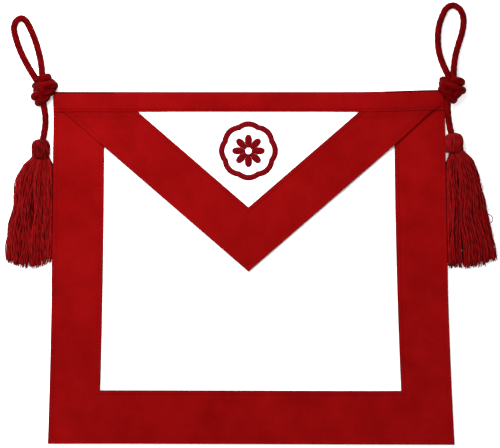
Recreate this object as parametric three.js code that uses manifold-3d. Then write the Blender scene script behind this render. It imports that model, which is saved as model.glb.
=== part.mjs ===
// A masonic apron lying flat: a white cloth body with a red border, a pointed flap with its own border,
// a red band folded over the top edge, an embroidered emblem, and a cord loop, knot and tassel at each
// top corner. Millimetres, +Z up, the wearer's waist towards +Y, resting on the plane z = 0.

import * as THREE from "three";
import { mergeVertices } from "three/addons/utils/BufferGeometryUtils.js";
import Module from "manifold-3d";

const wasm = await Module();
wasm.setup();

// Outline of the apron
const BOTTOM_WIDTH = 406.4;
const TOP_WIDTH = 391.2;
const HEIGHT = 351.5;
const TOP_SHIFT = -2.0; // the top edge's middle lies this far from the bottom edge's
const CORNER_RISE = 2.0; // the right end of the top edge is pulled up by its cord
const CORNER_RISE_RUN = 90;
const BOTTOM_SLOPE = 1.0; // how much lower the bottom edge is at its right end

// Borders, flap and band
const SIDE_BORDER = 50.8;
const BOTTOM_BORDER = 53.5;
const FLAP_DEPTH = 179.5;
const FLAP_AXIS = -2.8; // where the flap's point lies across the apron
const FLAP_END = 10.5; // the flap's short upright ends, from the top edge
const FLAP_BORDER = 48.6; // across an arm of the V
const BAND_HEIGHT = 20;
const FOLD_DEPTH = 4; // how far the fold of the band stands beyond the layers in it

// Walls of the cloth, and the clearance between any two pieces
const BODY_WALL = 1.4;
const BORDER_WALL = 1.0;
const FLAP_WALL = 1.0;
const FLAP_BORDER_WALL = 1.0;
const BAND_WALL = 1.0;
const GAP = 0.3;

// How the cloth lies
const STEP_RUN = 14; // the flap and band come down off the layer below in this length
const RISE_RUN = 8; // and the body comes down off the band's back leg in this
const TASSEL_LIFT = 5; // the side edge rides this high over the tassel's inner strands
const TASSEL_LIFT_REACH = 62;
const TASSEL_LIFT_FADE = 34;
const CORNER_CURL = 1.6; // the bottom corners turn up by this much
const CORNER_CURL_REACH = 70;
const HEM_WAVE = 0.7;
const HEM_WAVE_LENGTH = 130;

// Emblem
const EMBLEM_DIAMETER = 58.4;
const EMBLEM_STROKE = 4.8;
const EMBLEM_WALL = 1.0;
const EMBLEM_DOWN = 58.9; // its middle, from the top edge
const ROSETTE_DIAMETER = 33;
const ROSETTE_EYE = 6.5;
const EMBLEM_LOBES = 8;
const SCALLOP_DEPTH = 0.3; // of the stroke
const PETAL_CLEFT = 0.52; // how far in the clefts between the petals reach, of the radius

// Cord, knots and tassels
const CORD_DIAMETER = 6.3;
const HEAD_DIAMETER = 19;
const HEAD_LENGTH = 18;
const SKIRT_WIDTH = 36; // the outer side of the skirt, from the middle of the waist
const SKIRT_HEIGHT = 15.5;
const LOCKS = 9;
const SIDE_LOCK_SHORTER = 0.11; // shares of the skirt's length
const LOCK_UNEVEN = 0.02;
const CORE_LENGTH = 0.87;
const CORE_WIDTH = 0.9; // shares of the skirt's width and height
const CORE_HEIGHT = 0.84;
const LOCK_WIDTH = 1.5; // of the width that each lock has to fill
const LOCK_WAVE = 0.12; // of a lock's radius

const CORD_SIDES = 8;
const LOOP_STEPS = 30;
const DROP_STEPS = 7;

// Each side has the place of its knot beyond the apron's corner, the routes of its cord from the knot's
// middle (the loop from one strand round to the other, and the drop down to the tassel's head), the
// place of that head from the knot's middle, and the length of the tassel's skirt.
const SIDES = [
  {
    name: "left",
    side: -1,
    knot: { out: 9, up: 1, height: 10.1 },
    loop: [
      [-6.6, 9.6, 0.6],
      [-9.6, 14.1, -0.9],
      [-17.1, 26.3, -3.6],
      [-23.8, 39.6, -5.6],
      [-28.1, 51.4, -6.7],
      [-30.3, 60.6, -6.9],
      [-29.4, 67.4, -6.9],
      [-25.7, 71.8, -6.9],
      [-20.6, 71.9, -6.9],
      [-16.4, 66.8, -6.9],
      [-12.5, 58.8, -6.9],
      [-9.5, 51.2, -6.8],
      [-7.0, 43.6, -6.2],
      [-4.8, 35.6, -5.0],
      [-2.9, 26.6, -3.2],
      [-1.9, 18.4, -0.8],
      [-1.2, 11.6, 0.9],
    ],
    drop: [
      [-0.9, -9.4, 0.9],
      [0.2, -16.4, 0.6],
      [1.5, -25.6, 0.0],
      [1.4, -34.6, -0.4],
      [0.1, -43.4, -0.6],
      [-1.4, -51.4, -0.6],
      [-2.7, -61.4, -0.6],
    ],
    head: { out: 3.0, down: 48.4 },
    skirt: 111,
  },
  {
    name: "right",
    side: 1,
    knot: { out: 6.5, up: 0.2, height: 10.1 },
    loop: [
      [-2.6, 9.6, 0.8],
      [-4.6, 15.2, -0.8],
      [-9.5, 26.4, -3.4],
      [-12.9, 38.6, -5.6],
      [-13.8, 51.4, -6.8],
      [-12.7, 63.2, -6.9],
      [-9.7, 72.6, -6.9],
      [-5.4, 80.9, -6.9],
      [0.8, 84.2, -6.9],
      [7.2, 81.3, -6.9],
      [11.0, 74.8, -6.9],
      [11.8, 66.2, -6.9],
      [10.2, 56.4, -6.8],
      [6.9, 45.7, -6.2],
      [3.8, 34.9, -4.8],
      [2.1, 24.6, -2.6],
      [1.5, 16.0, -0.4],
      [1.3, 10.4, 0.9],
    ],
    drop: [
      [-2.9, -7.6, 1.4],
      [-3.6, -13.6, 1.3],
      [-3.4, -21.4, 1.0],
      [-2.8, -30.2, 0.4],
      [-1.7, -38.6, -0.2],
      [-0.2, -46.8, -0.6],
      [1.4, -56.6, -0.6],
    ],
    head: { out: 2.4, down: 43.4 },
    skirt: 117,
  },
];

// The turns of cord that make up each knot. All lengths are shares of the cord's diameter, from the
// knot's middle: where the turn's own middle is, its half length seen from above, its half height,
// the way it runs (degrees), how far it leans over, and how much its ends bend to one side.
const KNOT_TURNS = {
  left: [
    { across: -0.03, along: 1.9, above: 0.0, reach: 0.72, rise: 0.7, way: 15, lean: 0, bow: 0.0 },
    { across: 0.16, along: 0.96, above: 0.0, reach: 1.62, rise: 1.05, way: 2, lean: 8, bow: -0.42 },
    { across: 1.1, along: 0.72, above: 0.1, reach: 0.62, rise: 0.55, way: -80, lean: 60, bow: 0.0 },
    { across: -0.36, along: -0.5, above: 0.0, reach: 1.38, rise: 1.05, way: 14, lean: -6, bow: -0.2 },
    { across: -0.22, along: -1.58, above: -0.1, reach: 0.86, rise: 0.92, way: 32, lean: 0, bow: 0.0 },
    { across: -0.4, along: -0.1, above: 0.32, reach: 1.05, rise: 1.0, way: -76, lean: 0, bow: 0.22 },
  ],
  right: [
    { across: 0.06, along: 0.5, above: 0.08, reach: 1.94, rise: 1.05, way: -28, lean: 6, bow: 0.12 },
    { across: 0.78, along: 1.3, above: -0.02, reach: 1.0, rise: 0.95, way: -6, lean: 0, bow: -0.1 },
    { across: -0.62, along: -0.68, above: 0.0, reach: 1.3, rise: 1.0, way: -44, lean: 0, bow: -0.15 },
    { across: -1.2, along: 0.1, above: 0.1, reach: 0.86, rise: 0.9, way: -74, lean: 0, bow: -0.1 },
    { across: 1.0, along: -0.84, above: -0.05, reach: 0.9, rise: 0.95, way: 48, lean: 0, bow: 0.1 },
  ],
};
const KNOT_CORE = { across: 1.42, along: 1.66, up: 1.25 };
const TURN_ROUND = 1.5; // the round in which a turn is drawn before it is stretched to its size

// The skirt of each tassel: along is the share of its length, out and inn are the shares of
// SKIRT_WIDTH on its outer and inner side, and thick is the share of SKIRT_HEIGHT.
const SKIRTS = {
  left: [
    { along: 0, out: 0.24, inn: 0.23, thick: 0.98 },
    { along: 0.03, out: 0.42, inn: 0.27, thick: 1.0 },
    { along: 0.08, out: 0.6, inn: 0.34, thick: 1.0 },
    { along: 0.2, out: 0.74, inn: 0.4, thick: 0.97 },
    { along: 0.45, out: 0.86, inn: 0.43, thick: 0.86 },
    { along: 0.72, out: 0.97, inn: 0.45, thick: 0.74 },
    { along: 0.9, out: 1.04, inn: 0.45, thick: 0.62 },
    { along: 1, out: 1.02, inn: 0.43, thick: 0.5 },
  ],
  right: [
    { along: 0, out: 0.25, inn: 0.25, thick: 0.98 },
    { along: 0.03, out: 0.46, inn: 0.26, thick: 1.0 },
    { along: 0.08, out: 0.68, inn: 0.26, thick: 1.0 },
    { along: 0.2, out: 0.78, inn: 0.27, thick: 0.97 },
    { along: 0.45, out: 0.95, inn: 0.29, thick: 0.86 },
    { along: 0.72, out: 1.12, inn: 0.3, thick: 0.74 },
    { along: 0.9, out: 1.22, inn: 0.3, thick: 0.62 },
    { along: 1, out: 1.2, inn: 0.28, thick: 0.5 },
  ],
};

// The wound head: along is the share of its length from the cord's end, round of its radius.
const HEAD_PROFILE = [
  { along: 0, round: 0.42 },
  { along: 0.06, round: 0.8 },
  { along: 0.22, round: 0.99 },
  { along: 0.42, round: 0.97 },
  { along: 0.52, round: 0.86 },
  { along: 0.64, round: 0.98 },
  { along: 0.84, round: 0.98 },
  { along: 1, round: 0.84 },
];

// One lock of the fringe: along is the share of its length, round of its widest radius.
const LOCK_PROFILE = [
  { along: 0.01, round: 0.5 },
  { along: 0.06, round: 0.85 },
  { along: 0.4, round: 0.92 },
  { along: 0.66, round: 1.0 },
  { along: 0.88, round: 0.96 },
  { along: 0.98, round: 0.6 },
];

const rad = THREE.MathUtils.degToRad;
const lerp = THREE.MathUtils.lerp;
const smooth = (share) => THREE.MathUtils.smoothstep(share, 0, 1);

// Turns a closed three.js geometry into a solid that can be joined and cut.
function solidOf(geometry) {
  const plain = geometry.clone();
  plain.deleteAttribute("normal");
  plain.deleteAttribute("uv");
  const merged = mergeVertices(plain, 1e-4);
  const mesh = new wasm.Mesh({
    numProp: 3,
    vertProperties: Float32Array.from(merged.attributes.position.array),
    triVerts: Uint32Array.from(merged.index.array),
  });
  return new wasm.Manifold(mesh);
}

function geometryOf(solid) {
  const mesh = solid.getMesh();
  const geometry = new THREE.BufferGeometry();
  geometry.setAttribute("position", new THREE.BufferAttribute(mesh.vertProperties, 3));
  geometry.setIndex(new THREE.BufferAttribute(mesh.triVerts, 1));
  geometry.computeVertexNormals();
  return geometry;
}

function joined(solids) {
  return solids.reduce((whole, piece) => whole.add(piece));
}

// Moves each corner of a geometry to where the function sends it.
function reshape(geometry, place) {
  const corners = geometry.attributes.position;
  const corner = new THREE.Vector3();
  for (let i = 0; i < corners.count; i += 1) {
    corner.fromBufferAttribute(corners, i);
    corners.setXYZ(i, ...place(corner));
  }
  return geometry;
}

// Reads one column of a table at a share of the length, with straight stretches between its rows.
function readTable(rows, column, along) {
  const next = rows.findIndex((row) => row.along >= along);
  if (next <= 0) {
    return rows[next === 0 ? 0 : rows.length - 1][column];
  }
  const before = rows[next - 1];
  const after = rows[next];
  const share = (along - before.along) / (after.along - before.along);
  return lerp(before[column], after[column], share);
}

function evenly(from, to, cells) {
  return Array.from({ length: cells }, (_, i) => lerp(from, to, (i + 1) / cells));
}

// The cloth's outline. Across runs from 0 at the left edge to 1 at the right, down is the distance
// from the top edge. The side edges flare more and more towards the bottom.
function leftEdge(down) {
  const flare = (down / HEIGHT) ** 2;
  return lerp(TOP_SHIFT - TOP_WIDTH / 2, -BOTTOM_WIDTH / 2, flare);
}

function rightEdge(down) {
  const flare = (down / HEIGHT) ** 2;
  return lerp(TOP_SHIFT + TOP_WIDTH / 2, BOTTOM_WIDTH / 2, flare);
}

function topEdge(x) {
  const rightEnd = TOP_SHIFT + TOP_WIDTH / 2;
  return HEIGHT / 2 + CORNER_RISE * smooth(1 - (rightEnd - x) / CORNER_RISE_RUN);
}

// All layers of cloth share one grid of columns and rows, so that they follow each other exactly.
// A column is held to the left edge, to the right edge, or shares out the field between.
function gridColumns() {
  const border = [0, ...evenly(0, SIDE_BORDER, 3)];
  const field = [0, ...evenly(0, 1, 9)];
  return [
    ...border.map((inset) => ({ held: "left", inset, share: 0 })),
    ...field.map((share) => ({ held: "field", inset: SIDE_BORDER + STEP_RUN, share })),
    ...border.reverse().map((inset) => ({ held: "right", inset, share: 1 })),
  ];
}

function gridRows() {
  const aboveField = BAND_HEIGHT + RISE_RUN;
  const belowField = HEIGHT - BOTTOM_BORDER;
  return [
    FOLD_DEPTH,
    BAND_HEIGHT,
    aboveField,
    ...evenly(aboveField, belowField, 9),
    ...evenly(belowField, HEIGHT, 2),
  ];
}

const COLUMNS = gridColumns();
const ROWS = gridRows();

function columnAcross(column, down) {
  const left = leftEdge(down);
  const right = rightEdge(down);
  if (column.held === "left") {
    return left + column.inset;
  }
  if (column.held === "right") {
    return right - column.inset;
  }
  return lerp(left + column.inset, right - column.inset, column.share);
}

function pointUp(x, down) {
  const slope = BOTTOM_SLOPE * smooth(x / BOTTOM_WIDTH + 0.5) * (down / HEIGHT);
  return topEdge(x) * (1 - down / HEIGHT) + (HEIGHT / 2) * (down / HEIGHT) - down - slope;
}

// Height of the body's underside above the surface: raised on the band's back leg along the top,
// over the tassels at the sides, and a little at the bottom corners and hem.
function lift(column, down) {
  const x = columnAcross(column, down);
  const fromSide = Math.min(x - leftEdge(down), rightEdge(down) - x);
  const onBand = smooth(1 - (down - BAND_HEIGHT) / RISE_RUN) * (BAND_WALL + GAP);
  const side = SIDES[x < 0 ? 0 : 1];
  const waist = side.head.down + HEAD_LENGTH - side.knot.up;
  const alongTassel = Math.min(
    smooth((down - waist + TASSEL_LIFT_FADE) / TASSEL_LIFT_FADE),
    smooth((waist + side.skirt + TASSEL_LIFT_FADE - down) / TASSEL_LIFT_FADE),
  );
  const nearSide = Math.max(0, 1 - fromSide / TASSEL_LIFT_REACH) ** 2;
  const fromBottom = HEIGHT - down;
  const nearCorner = Math.max(0, 1 - Math.hypot(fromSide, fromBottom) / CORNER_CURL_REACH) ** 2;
  const nearHem = Math.max(0, 1 - fromBottom / BOTTOM_BORDER);
  const wave = 0.5 - 0.5 * Math.cos((2 * Math.PI * x) / HEM_WAVE_LENGTH);
  return (
    onBand + TASSEL_LIFT * alongTassel * nearSide + CORNER_CURL * nearCorner + HEM_WAVE * nearHem * wave
  );
}

const bodyTop = (column, down) => lift(column, down) + BODY_WALL;

// The flap lies on the side borders, and on the body between them.
function flapBase(column, down) {
  const onBorder = column.held === "field" ? 0 : BORDER_WALL + GAP;
  return bodyTop(column, down) + GAP + onBorder;
}

const flapTop = (column, down) => flapBase(column, down) + FLAP_WALL;

// A box cut into squares, whose diagonals run the same way on its lower and upper faces, so that
// layers laid on each other stay apart where they are twisted.
function squaredBox(columns, rows) {
  const box = new THREE.BoxGeometry(1, 1, 1, columns, rows, 1);
  const lower = box.groups[5];
  const index = box.index.array;
  for (let i = lower.start; i < lower.start + lower.count; i += 6) {
    const [a, b, d, , c] = index.slice(i, i + 6);
    index.set([a, b, c, a, c, d], i);
  }
  return box;
}

// A layer of cloth on the shared grid, between two heights, grown past its edges if asked.
function layer(under, over, grow = 0) {
  const cells = [COLUMNS.length - 1, ROWS.length - 1];
  const grid = squaredBox(cells[0], cells[1]);
  reshape(grid, (corner) => {
    const i = Math.round((corner.x + 0.5) * cells[0]);
    const j = Math.round((0.5 - corner.y) * cells[1]);
    const column = COLUMNS[i];
    const down = ROWS[j];
    const height = corner.z > 0 ? over(column, down) : under(column, down);
    const side = Math.sign(column.share - 0.5) * (i === 0 || i === cells[0] ? grow : 0);
    const x = columnAcross(column, down);
    const end = j === 0 ? grow + FOLD_DEPTH * Math.sign(grow) : 0;
    return [x + side, pointUp(x, down) + end, height];
  });
  return solidOf(grid);
}

// An upright prism through all the layers, from an outline seen from above.
function prism(points) {
  const outline = new THREE.Shape(points.map(([x, y]) => new THREE.Vector2(x, y)));
  const depth = 20 * SKIRT_HEIGHT;
  const block = new THREE.ExtrudeGeometry(outline, { depth, bevelEnabled: false });
  block.translate(0, 0, -depth / 2);
  return solidOf(block);
}

// The open field inside the U border, running out past the top edge.
function borderWindow() {
  const inner = ROWS.filter((down) => down <= HEIGHT - BOTTOM_BORDER);
  const left = COLUMNS.find((column) => column.held === "left" && column.inset === SIDE_BORDER);
  const right = COLUMNS.find((column) => column.held === "right" && column.inset === SIDE_BORDER);
  const edge = (column) =>
    inner.map((down) => {
      const x = columnAcross(column, down);
      return [x, pointUp(x, down) + (down === FOLD_DEPTH ? HEIGHT : 0)];
    });
  return prism([...edge(left), ...edge(right).reverse()]);
}

// The V of the flap, moved in from its edges: 0 is the flap's own outline.
function flapOutline(inset) {
  const top = HEIGHT / 2;
  const point = top - FLAP_DEPTH;
  const end = top - FLAP_END;
  const halves = [FLAP_AXIS - leftEdge(0), rightEdge(0) - FLAP_AXIS];
  const rise = (end - point) / ((halves[0] + halves[1]) / 2);
  const up = inset * Math.hypot(1, rise);
  const wide = HEIGHT;
  return prism([
    [FLAP_AXIS, point + up],
    [FLAP_AXIS + wide, point + up + rise * wide],
    [FLAP_AXIS - wide, point + up + rise * wide],
  ]);
}

function makeBody() {
  return layer(lift, bodyTop);
}

function makeBorder() {
  const under = (column, down) => bodyTop(column, down) + GAP;
  const over = (column, down) => under(column, down) + BORDER_WALL;
  return layer(under, over).subtract(borderWindow());
}

function makeFlapPanel() {
  return layer(flapBase, flapTop).intersect(flapOutline(0));
}

function makeFlapBorder() {
  const under = (column, down) => flapTop(column, down) + GAP;
  const over = (column, down) => under(column, down) + FLAP_BORDER_WALL;
  return layer(under, over).intersect(flapOutline(0)).subtract(flapOutline(FLAP_BORDER));
}

// Height of the band's front leg over the flap: on the V's arms at its ends, on the flap's cloth
// between them.
function bandFront(column) {
  const x = columnAcross(column, BAND_HEIGHT);
  const openHalf = innerFlapHalf();
  const onArm = smooth((Math.abs(x - FLAP_AXIS) - openHalf + 2 * STEP_RUN) / STEP_RUN);
  return flapTop(column, BAND_HEIGHT) + GAP + onArm * (FLAP_BORDER_WALL + GAP);
}

// Half the width of the flap's white triangle along the band's lower edge.
function innerFlapHalf() {
  const halfWidth = (rightEdge(0) - leftEdge(0)) / 2;
  const rise = (FLAP_DEPTH - FLAP_END) / halfWidth;
  return (FLAP_DEPTH - BAND_HEIGHT - FLAP_BORDER * Math.hypot(1, rise)) / rise;
}

// The band's section, from the lower edge of its back leg round the fold to that of its front leg.
function bandSection(column) {
  const back = BAND_WALL / 2;
  const front = bandFront(column) + BAND_WALL / 2;
  const middle = (back + front) / 2;
  const deep = FOLD_DEPTH - BAND_WALL / 2;
  const leg = (share) => lerp(BAND_HEIGHT, FOLD_DEPTH, share);
  const rows = [0, 0.5].map((share) => ({ down: leg(share), z: back, out: 0, up: -1 }));
  const turns = 6;
  for (let i = 0; i <= turns; i += 1) {
    const angle = Math.PI * (i / turns - 0.5);
    const normal = new THREE.Vector2(Math.cos(angle) * (front - middle), Math.sin(angle) * deep);
    normal.normalize();
    rows.push({
      down: FOLD_DEPTH - deep * Math.cos(angle),
      z: middle + (front - middle) * Math.sin(angle),
      out: normal.x,
      up: normal.y,
    });
  }
  rows.push(...[0.5, 0].map((share) => ({ down: leg(share), z: front, out: 0, up: 1 })));
  return rows;
}

function makeBand() {
  const sections = COLUMNS.map(bandSection);
  const cells = [COLUMNS.length - 1, sections[0].length - 1];
  const grid = squaredBox(cells[0], cells[1]);
  reshape(grid, (corner) => {
    const i = Math.round((corner.x + 0.5) * cells[0]);
    const j = Math.round((0.5 - corner.y) * cells[1]);
    const row = sections[i][j];
    const offset = corner.z * BAND_WALL;
    const x = columnAcross(COLUMNS[i], row.down);
    return [x, pointUp(x, row.down) + row.out * offset, row.z + row.up * offset];
  });
  return solidOf(grid);
}

// A flat ornament on the flap, from its outline and its holes.
function embroidered(outline, hole) {
  const shape = new THREE.Shape(outline);
  shape.holes.push(new THREE.Path(hole));
  const stitches = new THREE.ExtrudeGeometry(shape, { depth: EMBLEM_WALL, bevelEnabled: false });
  const middle = COLUMNS.find((column) => column.held === "field" && column.share > 0.4);
  const seat = flapTop(middle, EMBLEM_DOWN) + GAP;
  stitches.translate(FLAP_AXIS, HEIGHT / 2 - EMBLEM_DOWN, seat);
  return solidOf(stitches);
}

function polar(radiusAt, steps) {
  return Array.from({ length: steps }, (_, i) => {
    const angle = (2 * Math.PI * i) / steps;
    return new THREE.Vector2(Math.cos(angle), Math.sin(angle)).multiplyScalar(radiusAt(angle));
  });
}

// A ring whose outer and inner edges are scalloped together.
function makeEmblemRing() {
  const scallop = (angle) => Math.abs(Math.cos((EMBLEM_LOBES * angle) / 2)) - 1;
  const outer = (angle) => EMBLEM_DIAMETER / 2 + SCALLOP_DEPTH * EMBLEM_STROKE * scallop(angle);
  const inner = (angle) => outer(angle) - EMBLEM_STROKE;
  return embroidered(polar(outer, 6 * EMBLEM_LOBES), polar(inner, 6 * EMBLEM_LOBES));
}

// A flower of rounded petals round an open eye.
function makeEmblemRosette() {
  const petal = (angle) => Math.abs(Math.cos((EMBLEM_LOBES * angle) / 2)) ** 0.7;
  const outer = (angle) => (ROSETTE_DIAMETER / 2) * lerp(PETAL_CLEFT, 1, petal(angle));
  const eye = () => ROSETTE_EYE / 2;
  return embroidered(polar(outer, 6 * EMBLEM_LOBES), polar(eye, 12));
}

// The middle of a side's knot, just beyond the apron's corner.
function knotMiddle(side) {
  const corner = side.side < 0 ? leftEdge(0) : rightEdge(0);
  return new THREE.Vector3(
    corner + side.side * side.knot.out,
    topEdge(corner) + side.knot.up,
    side.knot.height,
  );
}

// A length of cord along its route. Room makes a wider and longer one, to cut the seat of its ends.
function cord(side, route, steps, room = 0) {
  const middle = knotMiddle(side);
  const points = route.map((offset) => new THREE.Vector3(...offset).add(middle));
  if (room > 0) {
    const last = points.length - 1;
    const start = points[0].clone().sub(points[1]).setLength(room);
    const end = points[last].clone().sub(points[last - 1]).setLength(room);
    points[0].add(start);
    points[last].add(end);
  }
  const sector = Math.PI / CORD_SIDES;
  const radius = room > 0 ? (CORD_DIAMETER / 2 + room) / Math.cos(sector) : CORD_DIAMETER / 2;
  const section = new THREE.Shape(polar(() => radius, CORD_SIDES));
  const path = new THREE.CatmullRomCurve3(points);
  return solidOf(new THREE.ExtrudeGeometry(section, { steps, extrudePath: path, bevelEnabled: false }));
}

// One turn of cord in a knot: an upright ring, leaned over and with its ends bent to one side. What
// lies inside the turn is filled, because the turns are drawn tight.
function knotTurn(turn) {
  const tube = CORD_DIAMETER / 2;
  const round = TURN_ROUND * CORD_DIAMETER;
  const reach = turn.reach * CORD_DIAMETER;
  const rise = turn.rise * CORD_DIAMETER;
  const rim = evenly(-Math.PI / 2, Math.PI / 2, 5).map(
    (angle) => new THREE.Vector2(round + Math.cos(angle) * tube, Math.sin(angle) * tube),
  );
  const profile = [new THREE.Vector2(0, -tube), new THREE.Vector2(round, -tube), ...rim];
  const disc = new THREE.LatheGeometry([...profile, new THREE.Vector2(0, tube)], 12);
  reshape(disc, (corner) => {
    const angle = Math.atan2(corner.z, corner.x);
    const away = Math.hypot(corner.x, corner.z);
    const share = Math.min(1, away / round);
    const out = new THREE.Vector2(Math.cos(angle) * rise, Math.sin(angle) * reach).normalize();
    const past = Math.max(0, away - round);
    return [
      Math.cos(angle) * reach * share + out.x * past,
      Math.cos(angle) ** 2 * share * turn.bow * CORD_DIAMETER + corner.y,
      Math.sin(angle) * rise * share + out.y * past,
    ];
  });
  disc.rotateX(rad(turn.lean));
  disc.rotateZ(rad(turn.way));
  disc.translate(
    turn.across * CORD_DIAMETER,
    turn.along * CORD_DIAMETER,
    turn.above * CORD_DIAMETER,
  );
  return solidOf(disc);
}

function knotCore() {
  const core = new THREE.SphereGeometry(CORD_DIAMETER, 10, 7);
  core.scale(KNOT_CORE.across, KNOT_CORE.along, KNOT_CORE.up);
  return solidOf(core);
}

// The space of the apron's layers, with the clearance all round.
function apronSpace(under, over) {
  return layer(under, over, GAP);
}

function makeKnot(side) {
  const middle = knotMiddle(side);
  const turns = joined([knotCore(), ...KNOT_TURNS[side.name].map(knotTurn)]);
  const placed = turns.translate([middle.x, middle.y, middle.z]);
  const over = (column) => bandFront(column) + BAND_WALL + GAP;
  const corner = apronSpace(() => -SKIRT_HEIGHT, over);
  return placed
    .subtract(corner)
    .subtract(cord(side, side.loop, LOOP_STEPS, GAP))
    .subtract(cord(side, side.drop, DROP_STEPS, GAP))
    .trimByPlane([0, 0, 1], 0);
}

// The tassel's head, wound round the cord's end and lying on the surface.
function tasselHead() {
  const radius = HEAD_DIAMETER / 2;
  const points = HEAD_PROFILE.map((row) => new THREE.Vector2(row.round * radius, -row.along * HEAD_LENGTH));
  const profile = [new THREE.Vector2(0, -HEAD_LENGTH), ...points.reverse(), new THREE.Vector2(0, 0)];
  const head = new THREE.LatheGeometry(profile, 14);
  head.translate(0, 0, radius);
  return solidOf(head);
}

function skirtSides(side, along) {
  const rows = SKIRTS[side.name];
  return {
    out: readTable(rows, "out", along) * SKIRT_WIDTH,
    inn: readTable(rows, "inn", along) * SKIRT_WIDTH,
    thick: readTable(rows, "thick", along) * SKIRT_HEIGHT,
  };
}

// The bulk of the skirt under its locks: flat below, rounded above.
function skirtCore(side) {
  const grid = new THREE.BoxGeometry(1, 1, 1, 6, 6, 1);
  reshape(grid, (corner) => {
    const along = CORE_LENGTH * (0.5 - corner.y);
    const sides = skirtSides(side, along);
    const across = 2 * CORE_WIDTH * corner.x;
    const half = (sides.out + sides.inn) / 2;
    const x = (sides.out - sides.inn) / 2 + across * half;
    const top = CORE_HEIGHT * sides.thick * Math.sqrt(1 - across ** 2);
    return [side.side * x, -along * side.skirt, corner.z > 0 ? top : 0];
  });
  if (side.side < 0) {
    grid.index.array.reverse();
  }
  return solidOf(grid);
}

// One lock of strands, from the waist out to its tip.
function skirtLock(side, number) {
  const across = (2 * number + 1) / LOCKS - 1;
  const reach = 1 - SIDE_LOCK_SHORTER * across ** 2 - LOCK_UNEVEN * (number % 2);
  const points = LOCK_PROFILE.map((row) => new THREE.Vector2(row.round, -row.along));
  const profile = [new THREE.Vector2(0, -1), ...points.reverse(), new THREE.Vector2(0, 0)];
  const lock = new THREE.LatheGeometry(profile, 6);
  reshape(lock, (corner) => {
    const along = -corner.y * reach;
    const sides = skirtSides(side, along);
    const half = (sides.out + sides.inn) / 2;
    const radius = (LOCK_WIDTH * half) / LOCKS;
    const middle = (sides.out - sides.inn) / 2;
    const wave = LOCK_WAVE * radius * Math.sin(3 * Math.PI * along + 2.4 * number);
    const x = middle + across * (half - radius / 2) + wave + corner.x * radius;
    const height = radius + (sides.thick - 2 * radius) * Math.sqrt(1 - across ** 2);
    return [side.side * x, -along * side.skirt, height + side.side * corner.z * radius];
  });
  return solidOf(lock);
}

function makeTassel(side) {
  const middle = knotMiddle(side);
  const locks = Array.from({ length: LOCKS }, (_, i) => skirtLock(side, i));
  const skirt = joined([skirtCore(side), ...locks]).translate([0, -HEAD_LENGTH, 0]);
  const under = (column, down) => lift(column, down) - GAP;
  return tasselHead()
    .add(skirt)
    .translate([middle.x + side.side * side.head.out, middle.y - side.head.down, 0])
    .subtract(cord(side, side.drop, DROP_STEPS, GAP))
    .subtract(apronSpace(under, () => 2 * SKIRT_HEIGHT))
    .trimByPlane([0, 0, 1], 0);
}

const redFelt = new THREE.MeshStandardMaterial({ color: 0x9a0b0b, roughness: 0.92, metalness: 0 });
const whiteCloth = new THREE.MeshStandardMaterial({ color: 0xf6f5f2, roughness: 0.88, metalness: 0 });
const redThread = new THREE.MeshStandardMaterial({ color: 0x960a14, roughness: 0.6, metalness: 0 });
const redCord = new THREE.MeshStandardMaterial({ color: 0x8f0a0e, roughness: 0.65, metalness: 0 });
const redFringe = new THREE.MeshStandardMaterial({ color: 0x8a0a0e, roughness: 0.6, metalness: 0 });

function add(group, name, solid, material) {
  const mesh = new THREE.Mesh(geometryOf(solid), material);
  mesh.name = name;
  group.add(mesh);
}

const apron = new THREE.Group();
add(apron, "body_panel", makeBody(), whiteCloth);
add(apron, "border", makeBorder(), redFelt);
add(apron, "flap_panel", makeFlapPanel(), whiteCloth);
add(apron, "flap_border", makeFlapBorder(), redFelt);
add(apron, "top_band", makeBand(), redFelt);
add(apron, "emblem_ring", makeEmblemRing(), redThread);
add(apron, "emblem_rosette", makeEmblemRosette(), redThread);
for (const side of SIDES) {
  add(apron, `${side.name}_loop`, cord(side, side.loop, LOOP_STEPS), redCord);
  add(apron, `${side.name}_knot`, makeKnot(side), redCord);
  add(apron, `${side.name}_drop`, cord(side, side.drop, DROP_STEPS), redCord);
  add(apron, `${side.name}_tassel`, makeTassel(side), redFringe);
}

export default apron;
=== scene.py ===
import math
import random

import bmesh
import bpy
import numpy as np
from mathutils import Euler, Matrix, Vector, geometry, noise


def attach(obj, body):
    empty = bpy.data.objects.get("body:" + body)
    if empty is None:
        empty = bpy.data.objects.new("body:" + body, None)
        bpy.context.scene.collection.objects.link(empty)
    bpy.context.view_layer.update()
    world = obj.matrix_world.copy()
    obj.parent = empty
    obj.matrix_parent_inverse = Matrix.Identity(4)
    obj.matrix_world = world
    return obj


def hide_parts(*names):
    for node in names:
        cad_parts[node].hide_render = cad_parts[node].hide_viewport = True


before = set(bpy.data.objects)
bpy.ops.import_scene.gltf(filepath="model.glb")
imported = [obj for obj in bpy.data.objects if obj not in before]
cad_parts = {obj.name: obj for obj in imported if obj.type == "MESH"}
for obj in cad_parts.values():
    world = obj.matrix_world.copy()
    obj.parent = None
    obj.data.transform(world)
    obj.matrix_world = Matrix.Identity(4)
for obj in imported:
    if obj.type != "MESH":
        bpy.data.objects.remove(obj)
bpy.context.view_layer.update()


# Camera
# It looks straight down on the apron, which lies flat, as in the photograph. Its long lens keeps the
# raised knots and tassels over their own places.
VIEW_WIDTH = 0.5
VIEW_MIDDLE = (-0.00125, 0.04375)
VIEW_LENS = 180

camera_lens = bpy.data.cameras.new("camera")
camera_lens.lens = VIEW_LENS
camera = bpy.data.objects.new("camera", camera_lens)
camera.location = (*VIEW_MIDDLE, VIEW_WIDTH * VIEW_LENS / camera_lens.sensor_width)
bpy.context.scene.collection.objects.link(camera)
bpy.context.scene.camera = camera


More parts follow.
